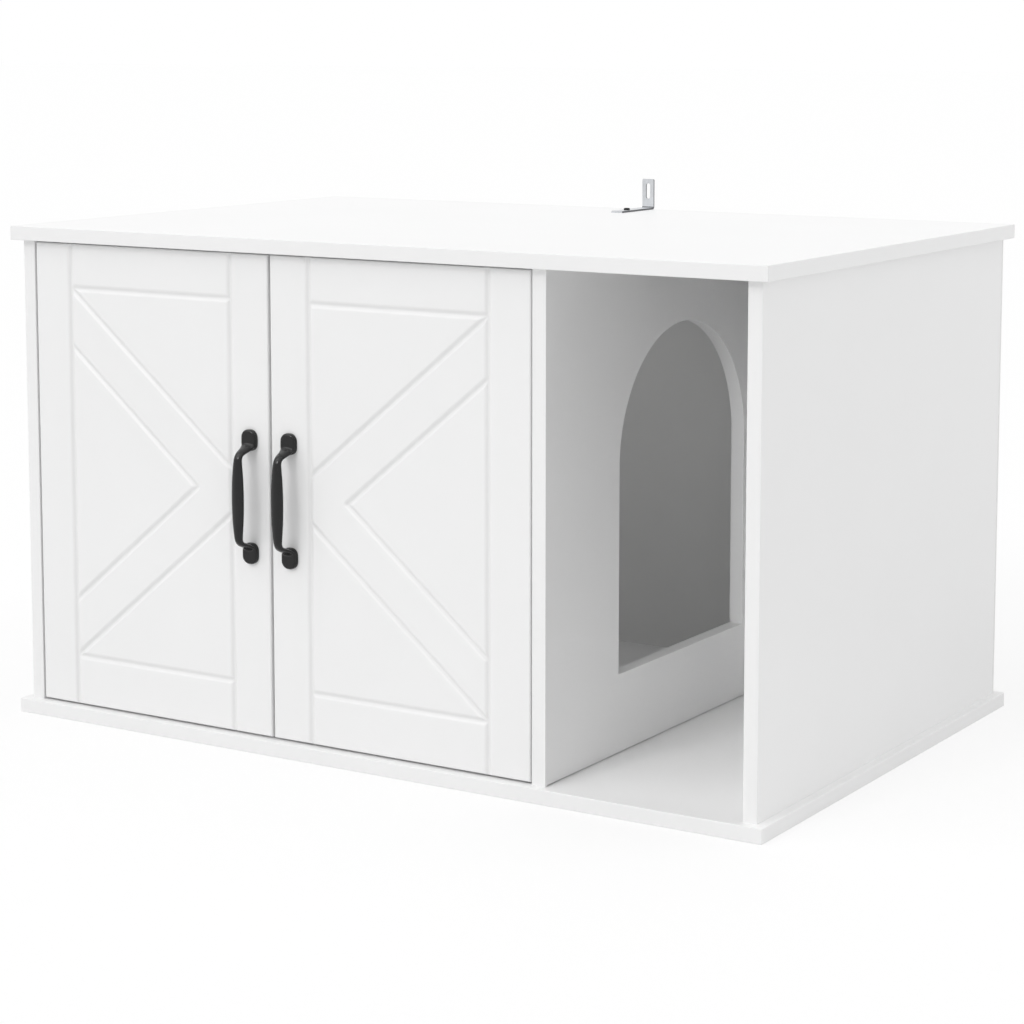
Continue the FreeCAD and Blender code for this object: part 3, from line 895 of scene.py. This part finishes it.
def smooth_stations(rows, steps):
    """The rows with a smooth run of in-between rows, as a curve drawn through them would give."""
    fine = []
    for index in range(len(rows) - 1):
        before, start, end, after = (rows[min(max(index + k, 0), len(rows) - 1)] for k in (-1, 0, 1, 2))
        for step in range(steps):
            t = step / steps
            fine.append([
                b + 0.5 * t * (c - a + t * (2 * a - 5 * b + 4 * c - d + t * (3 * b - a - 3 * c + d)))
                for a, b, c, d in zip(before, start, end, after)])
    return fine + [list(rows[-1])]


whole_bow = list(bow) + [(-z, reach, width, thick) for z, reach, width, thick in reversed(bow[:-1])]
stations = smooth_stations(whole_bow, ring_steps)
print("bow:", len(stations), "rings")

# %% The grip
ring_sides = 32


def make_grip(middle, door_face, half):
    """Rings along the bow, each square to it, bridged into one closed bar."""
    rings = []
    for index, (z, reach, width, thick) in enumerate(stations):
        before = stations[max(index - 1, 0)]
        after = stations[min(index + 1, len(stations) - 1)]
        lean = math.atan2((after[1] - before[1]) * grip_reach, (after[0] - before[0]) * half)
        place = (middle.x, door_face - reach * grip_reach, middle.z + z * half)
        deselect()
        bpy.ops.mesh.primitive_circle_add(
            vertices=ring_sides, radius=0.5, location=place, rotation=(lean, 0, 0))
        bpy.context.object.scale = (width * grip_width, thick * grip_thick, 1)
        rings.append(settled("ring"))
    grip = join(rings, "grip")
    with editing(grip):
        bpy.ops.mesh.select_all(action="SELECT")
        bpy.ops.mesh.bridge_edge_loops()
        bpy.ops.mesh.select_all(action="SELECT")
        bpy.ops.mesh.fill_holes(sides=0)
        bpy.ops.mesh.normals_make_consistent(inside=False)
    return grip


print("rings of", ring_sides, "sides")

# %% Feet and skin
foot_width = 0.0184
foot_thick = 0.005
foot_height = 0.022
foot_end_round = 0.0082
foot_neck_round = 0.0075
foot_edge_round = 0.0024
sunk = 0.0015
skin_voxel = 0.0005
skin_smoothing = 7


def make_foot(middle, door_face, end_z, inward):
    """A block rounded at its outer end and where the grip leaves it, sunk a little into the door."""
    neck_z = end_z + inward * foot_height
    low = (middle.x - foot_width / 2, door_face - foot_thick, min(end_z, neck_z))
    high = (middle.x + foot_width / 2, door_face + sunk, max(end_z, neck_z))
    foot = add_block("foot", low, high)
    round_edges(foot, lambda place: abs(place.z - end_z) < tiny, foot_end_round, steps=10, along="y")
    round_edges(foot, lambda place: abs(place.z - neck_z) < tiny, foot_neck_round, steps=8, along="y")
    round_edges(foot, lambda place: place.y < door_face - foot_thick + tiny, foot_edge_round, steps=5)
    return foot


def make_handle(side):
    low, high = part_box(side + "_handle")
    middle = (low + high) / 2
    grip = make_grip(middle, high.y, (high.z - low.z) / 2)
    feet = [make_foot(middle, high.y, high.z, -1), make_foot(middle, high.y, low.z, 1)]
    handle = join([grip] + feet, side + "_bow_handle")
    modify(handle, "REMESH", mode="VOXEL", voxel_size=skin_voxel)
    modify(handle, "SMOOTH", factor=0.5, iterations=skin_smoothing)
    with editing(handle):
        bpy.ops.mesh.select_all(action="SELECT")
        bpy.ops.mesh.bisect(plane_co=(0, high.y, 0), plane_no=(0, 1, 0), use_fill=True, clear_outer=True)
    return handle


left_handle = make_handle("left")
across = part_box("right_handle")[0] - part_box("left_handle")[0]
right_handle = copied(left_handle, "right_bow_handle", across)
hand_over(left_handle, "left_door", cast_black, "black_iron", "left_handle")
hand_over(right_handle, "right_door", cast_black, "black_iron", "right_handle")

# %% [markdown]
# ## The wall bracket
# A strip of steel, bent to an L and slotted, that holds the cabinet to a wall so that it can't tip. It is
# made as in the shop: a flat strip is laid out, folded up at the back, rounded at its tips, given its
# thickness and then punched. One black screw with a domed head and a crossed recess holds its foot.

# %% The bracket
strip_thick = 0.002
bend_round = 0.0035
tip_round = 0.0013
slot_width = 0.0054
slot_length = 0.018
slot_below_tip = 0.005
round_end_share = 0.499
strip_edge = 0.0002
metal_crease = 50


def make_bracket():
    low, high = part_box("wall_bracket")
    middle_x = (low.x + high.x) / 2
    foot_middle = (middle_x, (low.y + high.y) / 2, low.z)
    deselect()
    bpy.ops.mesh.primitive_plane_add(size=1, location=foot_middle)
    bracket = settled("anti_tip_bracket")
    with editing(bracket):
        bpy.ops.mesh.select_all(action="SELECT")
        bpy.ops.transform.resize(value=(high.x - low.x, high.y - low.y, 1), center_override=foot_middle)
        pick("EDGE", lambda place: place.y > high.y - tiny)
        bpy.ops.mesh.extrude_region_move(TRANSFORM_OT_translate={"value": (0, 0, high.z - low.z)})
        pick("EDGE", lambda place: place.y > high.y - tiny and place.z < low.z + tiny)
        bpy.ops.mesh.bevel(offset=bend_round, segments=6, affect="EDGES")
        pick("VERT", lambda place: place.y < low.y + tiny or place.z > high.z - tiny)
        bpy.ops.mesh.bevel(offset=tip_round, segments=4, affect="VERTICES")
    modify(bracket, "SOLIDIFY", thickness=strip_thick, offset=1)
    slot_top = high.z - slot_below_tip
    near = (middle_x - slot_width / 2, high.y - 3 * strip_thick, slot_top - slot_length)
    far = (middle_x + slot_width / 2, high.y + strip_thick, slot_top)
    punch = add_block("punch", near, far)
    round_edges(punch, lambda place: True, slot_width * round_end_share, steps=8, along="y")
    combine(bracket, punch, "DIFFERENCE")
    ease(bracket, strip_edge, steps=2, crease=metal_crease)
    return bracket


bracket = make_bracket()
hand_over(bracket, "cabinet", strip_zinc, "zinc_steel", "wall_bracket")

# %% The bracket's screw
head_round = 0.0013
recess_width = 0.0011
recess_depth = 0.0012
recess_share = 0.55


def make_bracket_screw():
    low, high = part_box("wall_bracket_screw")
    middle = (low + high) / 2
    strip_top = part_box("wall_bracket")[0].z + strip_thick
    radius = (high.x - low.x) / 2
    head = add_rod("bracket_screw", (middle.x, middle.y, strip_top), (middle.x, middle.y, high.z), radius)
    round_edges(head, lambda place: place.z > high.z - tiny, head_round, steps=5)
    for long_x, long_y in ((1, 0), (0, 1)):
        reach = Vector((recess_width / 2, recess_width / 2, 0))
        reach += Vector((long_x, long_y, 0)) * (radius * recess_share - recess_width / 2)
        cross = add_block("cross", (middle.x - reach.x, middle.y - reach.y, high.z - recess_depth),
                          (middle.x + reach.x, middle.y + reach.y, high.z + recess_depth))
        combine(head, cross, "DIFFERENCE")
    shank = add_rod("shank", (middle.x, middle.y, low.z), (middle.x, middle.y, strip_top + tiny), radius / 2)
    combine(head, shank, "UNION")
    return head


bracket_screw = make_bracket_screw()
hand_over(bracket_screw, "cabinet", black_oxide, "black_steel", "wall_bracket_screw")

# %% [markdown]
# ## The hinges
# Each door hangs on two concealed hinges. A pressed cup sits in the door's pocket, held by two ears, and a
# bent steel arm reaches from a plate on the upright into the cup, where it turns on a pin. One hinge is
# modelled, and all four are copies of it, mirrored for the other hand.

# %% Lugs for the pin
lug_width = 0.0048
lug_gap = 0.0004
lug_round = lug_width * 0.3


def add_lugs(cup, foot_y):
    """Two lugs on the floor of the cup, one at each end of the pin, with the arm between them."""
    pin_low, pin_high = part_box("left_upper_hinge_pin")
    arm_low, arm_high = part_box("left_upper_hinge_arm")
    pin = (pin_low + pin_high) / 2
    lug_top = pin.y + lug_width / 2
    for near, far in ((arm_high.z + lug_gap, pin_high.z), (pin_low.z, arm_low.z - lug_gap)):
        lug = add_block("lug", (pin.x - lug_width / 2, foot_y, near), (pin.x + lug_width / 2, lug_top, far))
        round_edges(lug, lambda place: place.y > lug_top - tiny, lug_round, steps=4, along="z")
        combine(cup, lug, "UNION")


print("lugs:", lug_width, "m wide")

# %% The cup
cup_wall = 0.0008
flange_thick = 0.0012
flange_rim = 0.001
ear_width = 0.012
ear_round = 0.004
press_round = 0.0008
cup_screw_spacing = 0.048


def make_cup():
    """The cup of the left upper hinge: a drawn bowl, its flange with two ears, and the lugs for the pin."""
    low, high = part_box("left_upper_hinge_cup")
    door_low, door_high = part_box("left_door")
    centre_x = door_low.x + cup_edge + cup_radius
    centre_z = (low.z + high.z) / 2

    def at(y):
        return Vector((centre_x, y, centre_z))

    cup = add_rod("left_upper_cup", at(low.y), at(high.y), cup_radius)
    round_edges(cup, lambda place: place.y < low.y + tiny, press_round, steps=3)
    rim = add_rod("rim", at(door_high.y), at(high.y), cup_radius + flange_rim)
    round_edges(rim, lambda place: place.y > high.y - tiny, flange_thick / 2, steps=3)
    screw_low, screw_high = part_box("left_hinge_cup_screws")
    ear_x = (screw_low.x + screw_high.x) / 2
    ears = add_block("ears", (ear_x - ear_width / 2, door_high.y, low.z),
                     (ear_x + ear_width / 2, high.y, high.z))
    round_edges(ears, lambda place: True, ear_round, steps=6, along="y")
    round_edges(ears, lambda place: place.y > high.y - tiny, flange_thick / 2, steps=3)
    for pressing in (rim, ears):
        combine(cup, pressing, "UNION")
    hollow = add_rod("hollow", at(low.y + cup_wall), at(high.y + cup_radius), cup_radius - cup_wall)
    round_edges(hollow, lambda place: place.y < low.y + cup_wall + tiny, press_round, steps=3)
    combine(cup, hollow, "DIFFERENCE")
    add_lugs(cup, low.y + cup_wall / 2)
    for way in (-1, 1):
        countersink(cup, (ear_x, high.y, centre_z + way * cup_screw_spacing / 2), (0, -1, 0))
    return cup


cup = make_cup()
print("cup:", len(cup.data.polygons), "faces")

# %% A folded strip
bend_size = 0.003


def fold_strip(name, folds, rise, thick):
    """A strip along a row of folds: a line is drawn from point to point, bent, raised and thickened."""
    deselect()
    bpy.ops.mesh.primitive_plane_add(size=1, location=(0, 0, 0))
    strip = settled(name)
    with editing(strip):
        pick("VERT", lambda place: place.y > 0)
        bpy.ops.mesh.delete(type="VERT")
        pick("VERT", lambda place: place.x > 0)
        bpy.ops.mesh.delete(type="VERT")
        bpy.ops.mesh.select_all(action="SELECT")
        bpy.ops.transform.translate(value=folds[0] - Vector((-0.5, -0.5, 0)))
        for here, there in zip(folds, folds[1:]):
            bpy.ops.mesh.extrude_vertices_move(TRANSFORM_OT_translate={"value": there - here})
        for fold in folds[1:-1]:
            pick("VERT", lambda place: (place - fold).length < tiny)
            bpy.ops.mesh.bevel(offset=bend_size, segments=6, affect="VERTICES")
        bpy.ops.mesh.select_all(action="SELECT")
        bpy.ops.mesh.extrude_edges_move(TRANSFORM_OT_translate={"value": (0, 0, rise)})
        bpy.ops.mesh.select_all(action="SELECT")
        bpy.ops.mesh.normals_make_consistent(inside=False)
    modify(strip, "SOLIDIFY", thickness=thick, offset=0, use_even_offset=True)
    return strip


print("strips bend by", bend_size, "m")

# %% The arm
arm_thick = 0.0025
arm_return = 0.02395
arm_edge = 0.0003
eye_radius = 0.0025
arm_bore = 0.00205


def make_arm():
    """The arm of the left upper hinge: a strip folded out of the cup and back along the upright."""
    low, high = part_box("left_upper_hinge_arm")
    pin_low, pin_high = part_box("left_upper_hinge_pin")
    pin = (pin_low + pin_high) / 2
    half = arm_thick / 2
    turn_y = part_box("left_door")[0].y + arm_return
    folds = [
        Vector((pin.x, pin.y, low.z)),
        Vector((high.x - half, pin.y, low.z)),
        Vector((high.x - half, turn_y, low.z)),
        Vector((low.x + half, turn_y, low.z)),
        Vector((low.x + half, high.y, low.z)),
    ]
    arm = fold_strip("left_upper_arm", folds, high.z - low.z, arm_thick)
    eye = add_rod("eye", (pin.x, pin.y, low.z), (pin.x, pin.y, high.z), eye_radius)
    combine(arm, eye, "UNION")
    bore = add_rod("bore", (pin.x, pin.y, low.z - arm_thick), (pin.x, pin.y, high.z + arm_thick),
                   (pin_high.x - pin_low.x) / 2 + tiny)
    combine(arm, bore, "DIFFERENCE")
    screw_low, screw_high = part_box("left_hinge_arm_screws")
    screw_y = (screw_low.y + screw_high.y) / 2
    hole = add_rod("hole", (low.x - arm_thick, screw_y, pin.z), (low.x + 2 * arm_thick, screw_y, pin.z),
                   arm_bore)
    combine(arm, hole, "DIFFERENCE")
    ease(arm, arm_edge, steps=2, crease=metal_crease)
    return arm


arm = make_arm()
print("arm:", len(arm.data.polygons), "faces")

# %% Four hinges from one
mirror = (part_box("left_door")[0].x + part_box("right_door")[1].x) / 2
lower_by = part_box("left_lower_hinge_cup")[0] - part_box("left_upper_hinge_cup")[0]
for pattern, name, on_door in ((cup, "cup", True), (arm, "arm", False)):
    for side, plane in (("left", None), ("right", mirror)):
        for row, shift in zip(hinge_rows, (Vector((0, 0, 0)), lower_by)):
            piece = copied(pattern, f"{side}_{row}_hinge_{name}_pressing", shift, plane)
            body = side + "_door" if on_door else "cabinet"
            hand_over(piece, body, nickel, "nickel_steel", f"{side}_{row}_hinge_{name}")
    bpy.data.objects.remove(pattern)

# %% [markdown]
# ## Cap and catch
# White plastic caps hide the cam locks on the inner faces of the uprights, and a white catch with two magnets
# hangs under the top, where the doors meet. Both are mouldings, so every edge is soft. The cap is modelled
# once and set at each of its six places.

# %% The cam caps
cap_thick = 0.0008
cap_round = 0.0005
cap_rim_share = 0.2
cap_slope_share = 0.08
cap_floor_share = 0.3
cap_dish = 0.0003


def make_caps():
    """One domed cap with a shallow dish, copied to both rows on each upright."""
    low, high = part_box("cam_caps")
    radius = (high.z - low.z) / 2
    middle_z = (low.z + high.z) / 2
    cap = add_rod("cap", (0, 0, 0), (cap_thick, 0, 0), radius)
    round_edges(cap, lambda place: place.x > cap_thick - tiny, cap_round, steps=4)
    with editing(cap):
        pick("FACE", lambda place: place.x > cap_thick - tiny)
        bpy.ops.mesh.inset(thickness=radius * cap_rim_share, depth=0)
        bpy.ops.mesh.inset(thickness=radius * cap_slope_share, depth=-cap_dish)
        bpy.ops.mesh.inset(thickness=radius * cap_floor_share, depth=0)
    caps = []
    for face_x, turned in ((left_inner, False), (divider_low.x, True), (right_inner, True)):
        for y in (low.y + radius, high.y - radius):
            shift = (-face_x if turned else face_x, y, middle_z)
            caps.append(copied(cap, "cap_copy", shift, 0 if turned else None))
    bpy.data.objects.remove(cap)
    return join(caps, "cam_cover_caps")


cover_caps = make_caps()
hand_over(cover_caps, "cabinet", white_plastic, "white_plastic", "cam_caps")

# %% The door catch
catch_round = 0.0012
tab_thick = 0.003
tab_round = 0.004
body_depth = 0.014
magnet_width = 0.014
magnet_play = Vector((0.00004, 0.00004, 0.00004))


def make_catch():
    """A block that hangs under the top, with a screw tab behind it and a pocket for each magnet."""
    low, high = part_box("door_catch")
    rear = low.y + body_depth
    catch = add_block("magnet_catch", low, (high.x, rear, high.z))
    round_edges(catch, lambda place: True, catch_round, steps=4, along="z")
    round_edges(catch, lambda place: place.z < low.z + tiny, catch_round, steps=4)
    tab = add_block("tab", (low.x, rear - body_depth / 2, high.z - tab_thick), high)
    round_edges(tab, lambda place: place.y > high.y - tiny, tab_round, steps=6, along="z")
    combine(catch, tab, "UNION")
    magnet_low, magnet_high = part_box("catch_magnets")
    for start_x in (magnet_low.x, magnet_high.x - magnet_width):
        near = Vector((start_x, low.y - body_depth, magnet_low.z))
        far = Vector((start_x + magnet_width, magnet_high.y, magnet_high.z))
        combine(catch, add_block("pocket", near - magnet_play, far + magnet_play), "DIFFERENCE")
    screw_low, screw_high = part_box("catch_screws")
    screw_y = (screw_low.y + screw_high.y) / 2
    for screw_x in (screw_low.x + sink_radius, screw_high.x - sink_radius):
        countersink(catch, (screw_x, screw_y, screw_low.z), (0, 0, 1))
    return catch


catch = make_catch()
hand_over(catch, "cabinet", white_plastic, "white_plastic", "door_catch")
